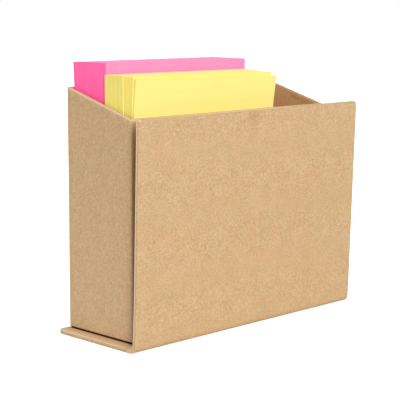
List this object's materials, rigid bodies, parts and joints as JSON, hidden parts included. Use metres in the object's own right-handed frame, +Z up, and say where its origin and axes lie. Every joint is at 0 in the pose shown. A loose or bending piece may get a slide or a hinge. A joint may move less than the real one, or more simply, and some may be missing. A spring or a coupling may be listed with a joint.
{
  "type": "memo pad holder",
  "caption": "Kraft-wrapped board desk holder: an open tray with sloping sides on a flat base, a hinged front flap and standing memo pads.",
  "frame": {"origin": "centre of the flat underside of the base, on the plane that the holder stands on", "axes": "+X to the right along the fold of the flap, +Y from the flap to the back of the tray, +Z up"},
  "size_m": [0.125, 0.0467, 0.1058],
  "materials": {
    "kraft_cover": "matte",
    "kraft_lining": "matte",
    "greyboard": "matte",
    "pink_sheets": "matte",
    "yellow_sheets": "matte",
    "release_liner": "satin",
    "mounting_tape": "matte"
  },
  "bodies": {
    "holder": {"base_board": "greyboard", "base_wrap": "kraft_cover", "base_lining": "kraft_lining", "hinge_strip": "kraft_cover", "tray_tape": "mounting_tape", "tray_floor_board": "greyboard", "tray_left_board": "greyboard", "tray_right_board": "greyboard", "tray_front_board": "greyboard", "tray_back_board": "greyboard", "tray_wrap": "kraft_cover", "tray_lining": "kraft_lining", "tray_floor_lining": "kraft_lining"},
    "flap": {"flap_board": "greyboard", "flap_wrap": "kraft_cover", "flap_lining": "kraft_lining"},
    "pink": {"pink_pad": "pink_sheets", "pink_liner": "release_liner"},
    "yellow_back": {"yellow_back_pad": "yellow_sheets", "yellow_back_liner": "release_liner"},
    "yellow_front": {"yellow_front_pad": "yellow_sheets", "yellow_front_liner": "release_liner"}
  },
  "joints": [
    {"name": "flap_hinge", "type": "hinge", "parent": "holder", "child": "flap", "pos_m": [0, -0.02351, 0.00064], "axis": [1, 0, 0], "range_deg": [-4.4, 88.5]},
    {"name": "pink_lift", "type": "slide", "parent": "holder", "child": "pink", "axis": [0, 0, 1], "range_m": [0, 0.1]},
    {"name": "yellow_back_lift", "type": "slide", "parent": "holder", "child": "yellow_back", "axis": [0, 0, 1], "range_m": [0, 0.1]},
    {"name": "yellow_front_lift", "type": "slide", "parent": "holder", "child": "yellow_front", "axis": [0, 0, 1], "range_m": [0, 0.1]}
  ]
}
